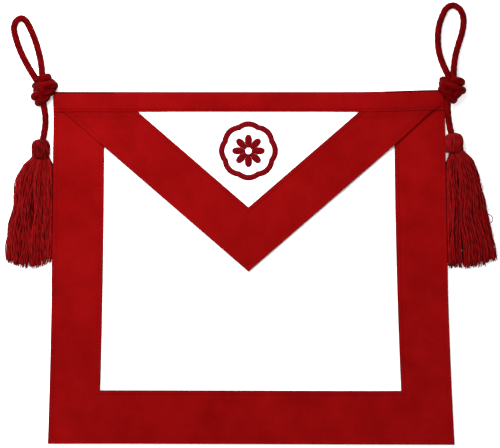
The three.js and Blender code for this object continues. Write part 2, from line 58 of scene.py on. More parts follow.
# Cords
# One thick red cord of three twisted plies is knotted at each top corner. Above the knot it makes the
# loop that a belt runs through, and below it the short drop that carries the tassel.
CORD_DIAMETER = 0.0063
PLIES = 3
PLY_PITCH = 0.019
PLY_OFFSET = 0.085  # shares of the cord's diameter
PLY_RADIUS = 0.45
PLY_SIDES = 12
CORD_STEP = 0.0013
UP = Vector((0, 0, 1))

# Points of a cord's route are offsets from the middle of its knot. The head's top is where the drop
# enters it, and the skirt's length runs from the head down to the tips of the yarn.
SIDES = [
    {
        "name": "left",
        "side": -1,
        "knot": Vector((-0.2066, 0.17675, 0.0104)),
        "loop": [
            (-0.0066, 0.0096, 0.0006), (-0.0096, 0.0141, -0.0009), (-0.0171, 0.0263, -0.0036),
            (-0.0238, 0.0396, -0.0056), (-0.0281, 0.0514, -0.0067), (-0.0303, 0.0606, -0.0069),
            (-0.0294, 0.0674, -0.0069), (-0.0257, 0.0718, -0.0069), (-0.0206, 0.0719, -0.0069),
            (-0.0164, 0.0668, -0.0069), (-0.0125, 0.0588, -0.0069), (-0.0095, 0.0512, -0.0068),
            (-0.0070, 0.0436, -0.0062), (-0.0048, 0.0356, -0.0050), (-0.0029, 0.0266, -0.0032),
            (-0.0019, 0.0184, -0.0008), (-0.0012, 0.0116, 0.0009),
        ],
        "drop": [
            (-0.0009, -0.0094, 0.0009), (0.0002, -0.0164, 0.0006), (0.0015, -0.0256, 0.0000),
            (0.0014, -0.0346, -0.0004), (0.0001, -0.0434, -0.0006), (-0.0014, -0.0514, -0.0006),
            (-0.0027, -0.0614, -0.0006),
        ],
        "head": Vector((-0.2096, 0.12835, 0)),
        "skirt": 0.111,
    },
    {
        "name": "right",
        "side": 1,
        "knot": Vector((0.2001, 0.17795, 0.0104)),
        "loop": [
            (-0.0026, 0.0096, 0.0008), (-0.0046, 0.0152, -0.0008), (-0.0095, 0.0264, -0.0034),
            (-0.0129, 0.0386, -0.0056), (-0.0138, 0.0514, -0.0068), (-0.0127, 0.0632, -0.0069),
            (-0.0097, 0.0726, -0.0069), (-0.0054, 0.0809, -0.0069), (0.0008, 0.0842, -0.0069),
            (0.0072, 0.0813, -0.0069), (0.0110, 0.0748, -0.0069), (0.0118, 0.0662, -0.0069),
            (0.0102, 0.0564, -0.0068), (0.0069, 0.0457, -0.0062), (0.0038, 0.0349, -0.0048),
            (0.0021, 0.0246, -0.0026), (0.0015, 0.0160, -0.0004), (0.0013, 0.0104, 0.0009),
        ],
        "drop": [
            (-0.0032, -0.0076, 0.0014), (-0.0044, -0.0136, 0.0013), (-0.0044, -0.0214, 0.0011),
            (-0.0036, -0.0302, 0.0006), (-0.0021, -0.0386, -0.0002), (-0.0004, -0.0468, -0.0007),
            (0.0010, -0.0566, -0.0008),
        ],
        "head": Vector((0.202, 0.13455, 0)),
        "skirt": 0.117,
    },
]


def line_length(line):
    return sum((b - a).length for a, b in zip(line, line[1:]))


def evenly(line, step):
    """The same line, with its points about a step apart."""
    far = np.concatenate([[0], np.cumsum([(b - a).length for a, b in zip(line, line[1:])])])
    at = np.linspace(0, far[-1], max(2, round(far[-1] / step)) + 1)
    return [Vector(p) for p in np.stack([np.interp(at, far, [p[k] for p in line]) for k in range(3)], 1)]


def smooth_route(knot, offsets, step):
    """A smooth line through the route's points."""
    points = [knot + Vector(offset) for offset in offsets]
    ends = [2 * points[0] - points[1], *points, 2 * points[-1] - points[-2]]
    line = []
    for a, b, c, d in zip(ends, ends[1:], ends[2:], ends[3:]):
        line += geometry.interpolate_bezier(b, b + (c - a) / 6, c - (d - b) / 6, c, 9)[:-1]
    return evenly([*line, points[-1]], step)


def cross_directions(line, i, reference):
    """Two directions square to a line at one of its points. The second leans towards the reference."""
    closed = (line[0] - line[-1]).length < 1e-7
    before = line[-2] if closed and i == 0 else line[max(i - 1, 0)]
    after = line[1] if closed and i == len(line) - 1 else line[min(i + 1, len(line) - 1)]
    ahead = (after - before).normalized()
    side = ahead.cross(reference).normalized()
    return side, side.cross(ahead)


def add_tube(bm, line, radius_at, sides, reference=UP, tone=0.5):
    """Wraps a grid round a line. Its UV map holds the share round the tube and the metres along it."""
    uv = bm.loops.layers.uv.verify()
    shade = bm.faces.layers.float.get("tone") or bm.faces.layers.float.new("tone")
    steps = len(line) - 1
    frames = [cross_directions(line, i, reference) for i in range(len(line))]
    length = line_length(line)
    made = bmesh.ops.create_grid(bm, x_segments=sides, y_segments=steps, size=0.5, calc_uvs=True)
    for vert in made["verts"]:
        i = round((vert.co.y + 0.5) * steps)
        angle = -2 * math.pi * (vert.co.x + 0.5)
        side, up = frames[i]
        radius = radius_at(i / steps)
        vert.co = line[i] + (side * math.cos(angle) + up * math.sin(angle)) * radius
    for face in {face for vert in made["verts"] for face in vert.link_faces}:
        face[shade] = tone
        for loop in face.loops:
            loop[uv].uv.y *= length


def add_cord(bm, line, reference=UP, diameter=CORD_DIAMETER):
    """Lays the plies of a cord round each other along a line, a whole number of times if it is closed."""
    turns = line_length(line) / PLY_PITCH
    if (line[0] - line[-1]).length < 1e-7:
        turns = max(1, round(turns))
    frames = [cross_directions(line, i, reference) for i in range(len(line))]
    for ply in range(PLIES):
        middle = []
        for i, (point, (side, up)) in enumerate(zip(line, frames)):
            angle = 2 * math.pi * (ply / PLIES + turns * i / (len(line) - 1))
            away = side * math.cos(angle) + up * math.sin(angle)
            middle.append(point + away * PLY_OFFSET * diameter)
        add_tube(bm, middle, lambda share: PLY_RADIUS * diameter, PLY_SIDES, reference, ply / PLIES)


def close_seams(bm):
    """Joins the two edges of each wrapped grid, and fills the open ends."""
    bmesh.ops.remove_doubles(bm, verts=bm.verts, dist=2e-6)
    open_edges = [edge for edge in bm.edges if edge.is_boundary]
    bmesh.ops.holes_fill(bm, edges=open_edges, sides=0)


def to_object(bm, name, material):
    mesh = bpy.data.meshes.new(name)
    bm.to_mesh(mesh)
    bm.free()
    mesh.shade_smooth()
    mesh.materials.append(material)
    piece = bpy.data.objects.new(name, mesh)
    bpy.context.scene.collection.objects.link(piece)
    return piece


def add_node(tree, kind, feeds=None, **settings):
    """A node with its settings, and with its inputs as plain values or as links from other sockets."""
    node = tree.nodes.new(f"ShaderNode{kind}")
    for key, value in settings.items():
        setattr(node, key, value)
    for key, value in (feeds or {}).items():
        if isinstance(value, bpy.types.NodeSocket):
            tree.links.new(value, node.inputs[key])
        else:
            node.inputs[key].default_value = value
    return node


def maths(tree, operation, *values):
    return add_node(tree, "Math", dict(enumerate(values)), operation=operation).outputs[0]


def noise_at(tree, vector, scale, detail=2.0, roughness=0.5):
    feeds = {"Vector": vector, "Scale": scale, "Detail": detail, "Roughness": roughness}
    return add_node(tree, "TexNoise", feeds).outputs["Fac"]


def blend(tree, share, low, high):
    """A colour between two others."""
    return add_node(tree, "Mix", {0: share, 6: low, 7: high}, data_type="RGBA").outputs[2]


def new_group(name, inputs, outputs):
    group = bpy.data.node_groups.new(name, "ShaderNodeTree")
    for label, default in inputs.items():
        kind = "NodeSocketVector" if default is None else "NodeSocketFloat"
        socket = group.interface.new_socket(label, in_out="INPUT", socket_type=kind)
        if default is not None:
            socket.default_value = default
    for label in outputs:
        group.interface.new_socket(label, in_out="OUTPUT", socket_type="NodeSocketFloat")
    return group


def new_material(name, values):
    """A material with these plain values on its shader. Returns its node tree and the shader too."""
    material = bpy.data.materials.new(name)
    material.use_nodes = True
    shader = material.node_tree.nodes["Principled BSDF"]
    for key, value in values.items():
        shader.inputs[key].default_value = value
    return material, material.node_tree, shader


# Twisted yarn: ridges that wind round it, and the loose fibres between them. The ridges also darken the
# colour in the grooves, painted shade.
twist_inputs = {"Around": 4.0, "Pitch": 0.006, "Fibre": 0.4}
yarn_twist = new_group("yarn_twist", twist_inputs, ["Height", "Shade"])


def build_yarn_twist(tree):
    given = tree.nodes.new("NodeGroupInput")
    put = tree.nodes.new("NodeGroupOutput")
    place = add_node(tree, "UVMap").outputs["UV"]
    split = add_node(tree, "SeparateXYZ", {"Vector": place})
    wound = maths(tree, "MULTIPLY", split.outputs["X"], given.outputs["Around"])
    along = maths(tree, "DIVIDE", split.outputs["Y"], given.outputs["Pitch"])
    tone = add_node(tree, "Attribute", attribute_name="tone").outputs["Fac"]
    turns = maths(tree, "ADD", maths(tree, "ADD", wound, along), maths(tree, "MULTIPLY", tone, 9.7))
    phase = maths(tree, "MULTIPLY", turns, 2 * math.pi)
    ridge = maths(tree, "MULTIPLY_ADD", maths(tree, "COSINE", phase), 0.5, 0.5)
    spot = add_node(tree, "TexCoord").outputs["Object"]
    fuzz = noise_at(tree, spot, 2600.0, 3.0, 0.6)
    height = maths(tree, "MULTIPLY_ADD", fuzz, given.outputs["Fibre"], ridge)
    patch = noise_at(tree, spot, 260.0)
    # Shade: painted shade in the grooves between the ridges, mixed with fibre and patch tone.
    shade = maths(tree, "MULTIPLY_ADD", ridge, 0.55, maths(tree, "MULTIPLY_ADD", fuzz, 0.5, -0.12))
    tree.links.new(height, put.inputs["Height"])
    tree.links.new(maths(tree, "MULTIPLY_ADD", patch, 0.3, shade), put.inputs["Shade"])


build_yarn_twist(yarn_twist)


def yarn_material(name, deep, bright, around, pitch, relief, roughness, gloss):
    """Twisted yarn, with painted shade darkening it between its turns, each ply or strand a little
    different from the next.
    """
    values = {"Roughness": roughness, "Specular IOR Level": gloss, "Specular Tint": (1.0, 0.2, 0.24, 1)}
    material, tree, shader = new_material(name, values)
    yarn = add_node(tree, "Group", {"Around": around, "Pitch": pitch}, node_tree=yarn_twist)
    tone = add_node(tree, "Attribute", attribute_name="tone").outputs["Fac"]
    share = maths(tree, "MULTIPLY_ADD", tone, 0.5, maths(tree, "SUBTRACT", yarn.outputs["Shade"], 0.25))
    limit = add_node(tree, "Clamp", {"Value": share}).outputs[0]
    bump = add_node(tree, "Bump", {"Strength": 1.0, "Distance": relief, "Height": yarn.outputs["Height"]})
    tree.links.new(blend(tree, limit, (*deep, 1), (*bright, 1)), shader.inputs["Base Color"])
    tree.links.new(bump.outputs["Normal"], shader.inputs["Normal"])
    return material


cord_yarn = yarn_material(
    "cord_yarn",
    deep=(0.04, 0.0002, 0.0004),
    bright=(0.1, 0.0006, 0.0012),
    around=5,
    pitch=0.0085,
    relief=0.00005,
    roughness=0.75,
    gloss=0.03,
)


def lay_cord(side, part):
    """The cord along one part of its route, the loop or the drop."""
    route = smooth_route(side["knot"], side[part], CORD_STEP)
    bm = bmesh.new()
    add_cord(bm, route)
    close_seams(bm)
    cord = to_object(bm, f"{side['name']}_{part}_cord", cord_yarn)
    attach(cord, "root")
    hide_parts(f"{side['name']}_{part}")
    return cord, route


for side in SIDES:
    loop, route = lay_cord(side, "loop")
    side["drop_cord"], side["drop_route"] = lay_cord(side, "drop")


# Knots
# The same cord is wound round itself and drawn tight against each corner of the band. Every turn is a
# ring of cord stood on edge, and a wad of cord fills the middle.
# All lengths are shares of the cord's diameter from the knot's middle: where the turn's middle is, its
# half length seen from above, its half height, its way and lean in degrees, and the bend of its ends.
TURN_COLUMNS = ("across", "along", "above", "reach", "rise", "way", "lean", "bow")
KNOT_TURNS = {
    "left": [
        (-0.03, 1.9, 0.0, 0.72, 0.7, 15, 0, 0.0),
        (0.2, 0.96, 0.0, 1.5, 1.05, 2, 8, -0.22),
        (1.1, 0.72, 0.1, 0.62, 0.55, -80, 60, 0.0),
        (-0.36, -0.5, 0.0, 1.24, 1.05, 14, -6, -0.2),
        (-0.24, -1.5, -0.1, 0.76, 0.92, 32, 0, 0.0),
        (-0.4, -0.1, 0.32, 1.05, 1.0, -76, 0, 0.22),
    ],
    "right": [
        (0.02, 0.52, 0.08, 1.74, 1.05, -28, 6, 0.12),
        (0.74, 1.3, -0.02, 0.76, 0.95, -6, 0, -0.1),
        (-0.62, -0.68, 0.0, 1.3, 1.0, -44, 0, -0.15),
        (-1.2, 0.1, 0.1, 0.86, 0.9, -74, 0, -0.1),
        (0.84, -0.72, -0.05, 0.66, 0.95, 48, 0, 0.1),
    ],
}
KNOT_WAD = Vector((1.5, 1.7, 1.28))
WAD_SHIFT = Vector((-0.0014, 0, 0))
KNOT_SWELL = 1.21  # the cord bulges where it is bent hard
KNOT_SQUEEZE = 0.85
TURN_STEPS = 48


def turn_line(turn):
    """The middle line of one turn of a knot, and the direction that the turn faces."""
    t = dict(zip(TURN_COLUMNS, turn))
    middle = Vector((t["across"], t["along"], t["above"]))
    placed = Euler((math.radians(t["lean"]), 0, math.radians(t["way"]))).to_matrix()
    line = []
    for i in range(TURN_STEPS):
        angle = 2 * math.pi * i / TURN_STEPS
        out, up = math.cos(angle), math.sin(angle)
        ring = Vector((out * t["reach"], out**2 * t["bow"], up * t["rise"] * KNOT_SQUEEZE))
        line.append((placed @ ring + middle) * CORD_DIAMETER)
    return [*line, line[0].copy()], placed @ Vector((0, 1, 0))


for side in SIDES:
    knot_mesh = bmesh.new()
    for turn in KNOT_TURNS[side["name"]]:
        line, facing = turn_line(turn)
        add_cord(knot_mesh, [side["knot"] + point for point in line], facing, CORD_DIAMETER * KNOT_SWELL)
    close_seams(knot_mesh)
    wad = bmesh.ops.create_uvsphere(
        knot_mesh, u_segments=24, v_segments=16, radius=CORD_DIAMETER, calc_uvs=True
    )
    bmesh.ops.scale(knot_mesh, verts=wad["verts"], vec=KNOT_WAD)
    bmesh.ops.translate(knot_mesh, verts=wad["verts"], vec=side["knot"] + WAD_SHIFT)
    knot = to_object(knot_mesh, f"{side['name']}_knot_cord", cord_yarn)
    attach(knot, "root")
    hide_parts(f"{side['name']}_knot")


# Body
# The white cotton field of the apron, one sheet under everything. It is cut a little wider at the
# bottom, and lies flat but for its side edges, which rest on the tassels, and its curled corners.
BOTTOM_WIDTH = 0.4064
TOP_WIDTH = 0.3912
HEIGHT = 0.3515
TOP_SHIFT = -0.002
CORNER_RISE = 0.002
CORNER_RISE_RUN = 0.09
BOTTOM_SLOPE = 0.001
SIDE_BORDER = 0.0508
BOTTOM_BORDER = 0.0535
BAND_HEIGHT = 0.02
FOLD_DEPTH = 0.004
BODY_WALL = 0.0014
FELT_WALL = 0.0013
STEP_RUN = 0.014
RISE_RUN = 0.008
HEAD_LENGTH = 0.018
TASSEL_LIFT = 0.005
TASSEL_LIFT_REACH = 0.062
TASSEL_LIFT_FADE = 0.034
CORNER_CURL = 0.0016
CORNER_CURL_REACH = 0.07
HEM_WAVE = 0.0007
HEM_WAVE_LENGTH = 0.13
BODY_INSET = 0.0008  # the felt hides the raw edge of the cotton
CLEAR = 0.00006  # between two layers that are sewn together
RIPPLE = 0.00045
PULL_WRINKLE = 0.0005  # the small folds that run from each knot
PULL_REACH = 0.07
KNOT_REACH = 0.008
RIM_RADIUS = 0.0004


def smooth(share):
    share = min(max(share, 0), 1)
    return share * share * (3 - 2 * share)


def lerp(a, b, share):
    return a + (b - a) * share


def left_edge(down):
    return lerp(TOP_SHIFT - TOP_WIDTH / 2, -BOTTOM_WIDTH / 2, (down / HEIGHT) ** 2)


def right_edge(down):
    return lerp(TOP_SHIFT + TOP_WIDTH / 2, BOTTOM_WIDTH / 2, (down / HEIGHT) ** 2)


def top_edge(x):
    right_end = TOP_SHIFT + TOP_WIDTH / 2
    return HEIGHT / 2 + CORNER_RISE * smooth(1 - (right_end - x) / CORNER_RISE_RUN)


def bottom_slope(x):
    return BOTTOM_SLOPE * smooth(x / BOTTOM_WIDTH + 0.5)


def up_at(x, down):
    """How far up the page a point of the cloth is, from how far it is below the top edge."""
    share = down / HEIGHT
    return top_edge(x) * (1 - share) + (HEIGHT / 2 - bottom_slope(x)) * share - down


def down_at(x, y):
    stretch = 1 + (top_edge(x) - HEIGHT / 2 + bottom_slope(x)) / HEIGHT
    return (top_edge(x) - y) / stretch


def ripple(x, y, down):
    """The soft unevenness of cloth that lies on a table, and the pull of the two knots."""
    broad = noise.noise(Vector((x * 11, y * 11, 3.7)))
    soft = 0.5 * broad + 0.25 * noise.noise(Vector((x * 27, y * 27, 8.1)))
    wrinkles = 0.0
    for side in SIDES:
        offset = Vector((x, y)) - side["knot"].xy
        fade = max(0, 1 - offset.length / PULL_REACH) ** 2 * smooth((offset.length - KNOT_REACH) / 0.01)
        angle = math.atan2(offset.y, offset.x)
        wrinkles += PULL_WRINKLE * fade * (0.5 + 0.5 * math.cos(13 * angle + 40 * offset.length))
    return RIPPLE * (0.6 + soft) * smooth(down / 0.03) + wrinkles


def lift(x, y):
    """Height of the body's underside above the table."""
    down = down_at(x, y)
    from_side = max(0, min(x - left_edge(down), right_edge(down) - x))
    side = SIDES[0 if x < 0 else 1]
    waist = HEIGHT / 2 - side["head"].y + HEAD_LENGTH + (CORNER_RISE if x > 0 else 0)
    along_tassel = min(
        smooth((down - waist + TASSEL_LIFT_FADE) / TASSEL_LIFT_FADE),
        smooth((waist + side["skirt"] + TASSEL_LIFT_FADE - down) / TASSEL_LIFT_FADE),
    )
    from_bottom = HEIGHT - down
    near_corner = max(0, 1 - math.hypot(from_side, from_bottom) / CORNER_CURL_REACH) ** 2
    near_hem = max(0, 1 - from_bottom / BOTTOM_BORDER)
    wave = 0.5 - 0.5 * math.cos(2 * math.pi * x / HEM_WAVE_LENGTH)
    return (
        FELT_WALL * smooth(1 - (down - BAND_HEIGHT) / RISE_RUN)
        + TASSEL_LIFT * along_tassel * max(0, 1 - from_side / TASSEL_LIFT_REACH) ** 2
        + CORNER_CURL * near_corner
        + HEM_WAVE * near_hem * wave
        + ripple(x, y, down)
    )


def body_top(x, y):
    return lift(x, y) + BODY_WALL


def cloth(name, columns, rows, place, material, window=None):
    """A sheet with a wall: a grid with its window cut out, thickened, and put in place by a function
    of its column, its row and its side, 0 below and 1 above. Its rims are rounded, and marked for the
    felt's painted edge shade."""
    bm = bmesh.new()
    bmesh.ops.create_grid(bm, x_segments=len(columns) - 1, y_segments=len(rows) - 1, size=0.5)

    def cell(co):
        return (co.x + 0.5) * (len(columns) - 1), (0.5 - co.y) * (len(rows) - 1)

    if window:
        cut = []
        for face in bm.faces:
            i, j = cell(face.calc_center_median())
            if window(columns[int(i)], rows[int(j)]):
                cut.append(face)
        bmesh.ops.delete(bm, geom=cut, context="FACES")
    above = bmesh.ops.extrude_face_region(bm, geom=bm.faces[:])["geom"]
    raised = [g for g in above if isinstance(g, bmesh.types.BMVert)]
    bmesh.ops.translate(bm, verts=raised, vec=(0, 0, 1))
    for vert in bm.verts:
        i, j = (round(c) for c in cell(vert.co))
        vert.co = place(columns[i], rows[j], vert.co.z > 0.5)
    bmesh.ops.remove_doubles(bm, verts=bm.verts, dist=1e-7)
    bmesh.ops.recalc_face_normals(bm, faces=bm.faces)
    # Marks the rims, which the felt darkens with painted shade.
    edge = bm.verts.layers.float.new("edge")
    for vert in bm.verts:
        vert[edge] = float(any(abs(face.normal.z) < 0.6 for face in vert.link_faces))
    piece = to_object(bm, name, material)
    rounding = piece.modifiers.new("rounded_rim", "BEVEL")
    rounding.width = RIM_RADIUS
    rounding.segments = 3
    rounding.limit_method = "ANGLE"
    rounding.angle_limit = math.radians(50)
    return piece


def spaced(start, end, cells):
    return [lerp(start, end, i / cells) for i in range(cells + 1)]


weave = new_group("plain_weave", {"Place": None, "Pitch": 0.0007}, ["Height", "Shade"])


def build_weave(tree):
    given = tree.nodes.new("NodeGroupInput")
    put = tree.nodes.new("NodeGroupOutput")
    wobble = add_node(tree, "TexNoise", {"Vector": given.outputs["Place"], "Scale": 60.0})
    bent = {0: wobble.outputs["Color"], "Scale": 0.0004}
    bent = add_node(tree, "VectorMath", bent, operation="SCALE")
    moved = {0: given.outputs["Place"], 1: bent.outputs[0]}
    moved = add_node(tree, "VectorMath", moved, operation="ADD")
    split = add_node(tree, "SeparateXYZ", {"Vector": moved.outputs[0]})
    waves = []
    for axis in ("X", "Y"):
        turns = maths(tree, "DIVIDE", split.outputs[axis], given.outputs["Pitch"])
        waves.append(maths(tree, "SINE", maths(tree, "MULTIPLY", turns, math.pi)))
    over = maths(tree, "MULTIPLY", waves[0], waves[1])
    slubs = noise_at(tree, given.outputs["Place"], 900.0, 2.0)
    crown = maths(tree, "ABSOLUTE", over)
    height = maths(tree, "MULTIPLY_ADD", crown, 0.7, maths(tree, "MULTIPLY", slubs, 0.4))
    tree.links.new(height, put.inputs["Height"])
    tree.links.new(noise_at(tree, given.outputs["Place"], 22.0, 3.0), put.inputs["Shade"])


build_weave(weave)


def cotton_material():
    """Closely woven white cotton."""
    values = {"Roughness": 0.85, "Specular IOR Level": 0.15, "Sheen Weight": 0.08}
    material, tree, shader = new_material("white_cotton", values)
    spot = add_node(tree, "TexCoord").outputs["Object"]
    threads = add_node(tree, "Group", {"Place": spot, "Pitch": 0.0007}, node_tree=weave)
    relief = {"Strength": 0.6, "Distance": 0.00012, "Height": threads.outputs["Height"]}
    bump = add_node(tree, "Bump", relief)
    tint = blend(tree, threads.outputs["Shade"], (0.84, 0.835, 0.82, 1), (0.93, 0.93, 0.925, 1))
    tree.links.new(tint, shader.inputs["Base Color"])
    tree.links.new(bump.outputs["Normal"], shader.inputs["Normal"])
    return material


white_cotton = cotton_material()
body_rows = [FOLD_DEPTH, *spaced(BAND_HEIGHT, HEIGHT, 90)]


def body_place(share, down, above):
    inset = lerp(BODY_INSET, -BODY_INSET, share)
    x = lerp(left_edge(down), right_edge(down), share) + inset
    y = up_at(x, min(down, HEIGHT - BODY_INSET))
    return x, y, body_top(x, y) if above else lift(x, y)


body = cloth("body_cotton", spaced(0, 1, 110), body_rows, body_place, white_cotton)
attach(body, "root")
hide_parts("body_panel")


# Border
# A U of red wool felt, about two inches wide, sewn on the body down both sides and along the bottom.
# Its edges are turned under and stitched down with red thread, which leaves a groove beside a soft rim.
TURN_UNDER = 0.0034
SEAM_INSET = 0.0042
RIM_RISE = 0.00028
SEAM_DENT = 0.0002
SEAM_HALF = 0.0007
EDGE_INSETS = (0, 0.0007, 0.0018, 0.0031, 0.0037, 0.0042, 0.0047, 0.0055, 0.0075)
STITCH_PITCH = 0.0031
STITCH_LENGTH = 0.0023
THREAD_RADIUS = 0.00026
EDGE_WRAP = 0.0004  # this near its edge, the felt reaches down over the cotton's raw edge


def turned_edge(inset):
    """How much higher felt is this far from its edge: the rim of the turned edge, and the seam's groove."""
    rim = RIM_RISE * (1 - smooth((inset - TURN_UNDER) / 0.0014))
    return rim - SEAM_DENT * math.exp(-(((inset - SEAM_INSET) / SEAM_HALF) ** 2))


def felt_insets(width, cells):
    """Distances across a strip of felt, close together at its two edges."""
    middle = spaced(EDGE_INSETS[-1], width - EDGE_INSETS[-1], cells)[1:-1]
    return [*EDGE_INSETS, *middle, *(width - inset for inset in reversed(EDGE_INSETS))]


nap = new_group("felt_nap", {"Place": None}, ["Height", "Shade"])


def build_nap(tree):
    given = tree.nodes.new("NodeGroupInput")
    put = tree.nodes.new("NodeGroupOutput")
    place = given.outputs["Place"]
    tufts = noise_at(tree, place, 420.0, 4.0, 0.65)
    fibres = noise_at(tree, place, 1900.0, 2.0, 0.6)
    brushed = noise_at(tree, place, 58.0, 4.0, 0.6)
    worn = noise_at(tree, place, 14.0, 2.0, 0.5)
    height = maths(tree, "MULTIPLY_ADD", tufts, 0.6, maths(tree, "MULTIPLY", fibres, 0.4))
    fine = maths(tree, "MULTIPLY_ADD", fibres, 0.35, maths(tree, "MULTIPLY", tufts, 0.35))
    broad = maths(tree, "MULTIPLY_ADD", brushed, 0.55, maths(tree, "MULTIPLY", worn, 0.65))
    shade = maths(tree, "MULTIPLY_ADD", maths(tree, "ADD", fine, broad), 1.5, -0.93)
    tree.links.new(height, put.inputs["Height"])
    tree.links.new(add_node(tree, "Clamp", {"Value": shade}).outputs[0], put.inputs["Shade"])


build_nap(nap)


def felt_material():
    """Red wool felt, its nap brushed this way and that, with painted shade darkening its rims."""
    values = {
        "Roughness": 0.95,
        "Specular IOR Level": 0.0,
        "Sheen Weight": 0.03,
        "Sheen Roughness": 0.45,
        "Sheen Tint": (0.6, 0.03, 0.03, 1),
    }
    material, tree, shader = new_material("red_felt", values)
    spot = add_node(tree, "TexCoord").outputs["Object"]
    wool = add_node(tree, "Group", {"Place": spot}, node_tree=nap)
    bump = add_node(tree, "Bump", {"Strength": 0.7, "Distance": 0.00025, "Height": wool.outputs["Height"]})
    tint = blend(tree, wool.outputs["Shade"], (0.106, 0.001, 0.0011, 1), (0.17, 0.0022, 0.0025, 1))
    # Painted shade: the marked rims are mixed towards a near black red, standing in for the shade of the
    # edges.
    edge = add_node(tree, "Attribute", attribute_name="edge").outputs["Fac"]
    tint = blend(tree, maths(tree, "MULTIPLY", edge, 0.85), tint, (0.03, 0.0002, 0.0002, 1))
    tree.links.new(tint, shader.inputs["Base Color"])
    tree.links.new(bump.outputs["Normal"], shader.inputs["Normal"])
    return material


red_felt = felt_material()
sewing_thread = yarn_material(
    "sewing_thread",
    deep=(0.09, 0.0009, 0.001),
    bright=(0.165, 0.0019, 0.0022),
    around=2,
    pitch=0.0012,
    relief=0.00004,
    roughness=0.7,
    gloss=0.04,
)


def add_stitches(bm, line, height):
    """Lays short arched stitches of thread end to end along a line on the cloth."""
    for start in evenly(line, STITCH_PITCH)[:-1]:
        i = min(range(len(line) - 1), key=lambda k: (line[k] - start).length)
        way = (line[i + 1] - line[i]).normalized()
        stitch = []
        for share in (-0.5, -0.34, 0, 0.34, 0.5):
            point = start + way * (STITCH_PITCH / 2 + share * STITCH_LENGTH)
            arch = THREAD_RADIUS * (1.1 - 7.6 * share**2)
            stitch.append(Vector((point.x, point.y, height(point.x, point.y) + arch)))
        add_tube(bm, stitch, lambda along: THREAD_RADIUS, 5)


def sew(name, seams, height):
    """One piece of sewing thread, stitched along some seams at the height of the cloth there."""
    bm = bmesh.new()
    for seam in seams:
        add_stitches(bm, seam, height)
    close_seams(bm)
    stitching = to_object(bm, name, sewing_thread)
    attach(stitching, "root")


def border_under(x, y):
    return body_top(x, y) + CLEAR


def border_column(column, down):
    held, inset = column
    left, right = left_edge(down), right_edge(down)
    if held == "left":
        return left + inset
    if held == "right":
        return right - inset
    return lerp(left + SIDE_BORDER, right - SIDE_BORDER, inset)


def border_place(column, down, above):
    """A point of the border. Its turned edges are the outline, and the U's inner edge on three sides."""
    x = border_column(column, down)
    y = up_at(x, down)
    left, right = left_edge(down), right_edge(down)
    from_outside = min(x - left, right - x, HEIGHT - down)
    if not above:
        return x, y, border_under(x, y) if from_outside > EDGE_WRAP else lift(x, y)
    across_inside = max(left + SIDE_BORDER - x, x - right + SIDE_BORDER)
    down_inside = down - HEIGHT + BOTTOM_BORDER
    from_inside = max(across_inside, down_inside)
    rim = turned_edge(from_outside) + turned_edge(max(0, from_inside))
    return x, y, border_under(x, y) + FELT_WALL - CLEAR - RIM_RISE + rim


strip = felt_insets(SIDE_BORDER, 12)
border_columns = [
    *(("left", inset) for inset in strip),
    *(("field", share) for share in spaced(0, 1, 60)[1:-1]),
    *(("right", inset) for inset in reversed(strip)),
]
border_rows = [
    FOLD_DEPTH,
    *spaced(BAND_HEIGHT, HEIGHT - BOTTOM_BORDER, 70)[:-1],
    *(HEIGHT - inset for inset in reversed(felt_insets(BOTTOM_BORDER, 12))),
]


def border_window(column, down):
    inner_left = column[0] == "left" and column[1] >= SIDE_BORDER
    return (column[0] == "field" or inner_left) and down < HEIGHT - BOTTOM_BORDER - 1e-6


border = cloth("border_felt", border_columns, border_rows, border_place, red_felt, border_window)
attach(border, "root")
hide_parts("border")


def border_seam(inset_side, inset_bottom):
    """The line of stitching at a distance in from the outline."""
    downs = spaced(BAND_HEIGHT, HEIGHT - inset_bottom, 60)
    left = [(left_edge(down) + inset_side, down) for down in downs]
    right = [(right_edge(down) - inset_side, down) for down in reversed(downs)]
    hem = [(x, HEIGHT - inset_bottom) for x in spaced(left[-1][0], right[0][0], 60)[1:-1]]
    return [Vector((x, up_at(x, down), 0)) for x, down in [*left, *hem, *right]]


def border_top(x, y):
    return body_top(x, y) + FELT_WALL - RIM_RISE - SEAM_DENT


outer_seam = border_seam(SEAM_INSET, SEAM_INSET)
inner_seam = border_seam(SIDE_BORDER - SEAM_INSET, BOTTOM_BORDER - SEAM_INSET)
sew("border_stitching", [outer_seam, inner_seam], border_top)


# Flap
# A full-width pointed flap of the same white cotton, hanging from the top edge, with a V of red felt
# sewn along its two slanted edges. Its ends ride up over the side borders.
FLAP_DEPTH = 0.1795
FLAP_AXIS = -0.0028
FLAP_END = 0.0105
FLAP_BORDER = 0.0486
FLAP_WALL = 0.0013
CORNER_FADE = 0.06
ARM_PRESS = 0.007  # how far in from its edge an arm is pressed flat
ARM_PRESS_FADE = 0.008
RIGHT_PRESS = 0.6
FLAP_PRESSED = 0.65
FELT_PRESSED = 0.6
ARM_FOLD_START = Vector((0.077, 0.111))
ARM_FOLD_END = Vector((0.092, 0.081))
ARM_FOLD_HALF = 0.0065
ARM_FOLD_RISE = 0.0011

flap_point = HEIGHT / 2 - FLAP_DEPTH
flap_left, flap_right = left_edge(0), right_edge(0)
flap_rise = (FLAP_DEPTH - FLAP_END) / ((flap_right - flap_left) / 2)
flap_slant = math.hypot(1, flap_rise)


def arm_fold(x, y):
    """A soft fold across the right arm of the V, left from the way the apron was put away."""
    way = ARM_FOLD_END - ARM_FOLD_START
    offset = Vector((x, y)) - ARM_FOLD_START
    along = offset.dot(way) / way.length_squared
    across = offset.cross(way) / way.length
    fade = smooth((along + 0.6) / 0.6) * smooth((1.6 - along) / 0.6)
    return ARM_FOLD_RISE * fade * math.exp(-((across / ARM_FOLD_HALF) ** 2))


def flap_base(x, y):
    down = down_at(x, y)
    inset = min(x - left_edge(down), right_edge(down) - x)
    on_border = FELT_WALL * (1 - smooth((inset - SIDE_BORDER) / STEP_RUN))
    return body_top(x, y) + on_border + arm_fold(x, y) + 2 * CLEAR


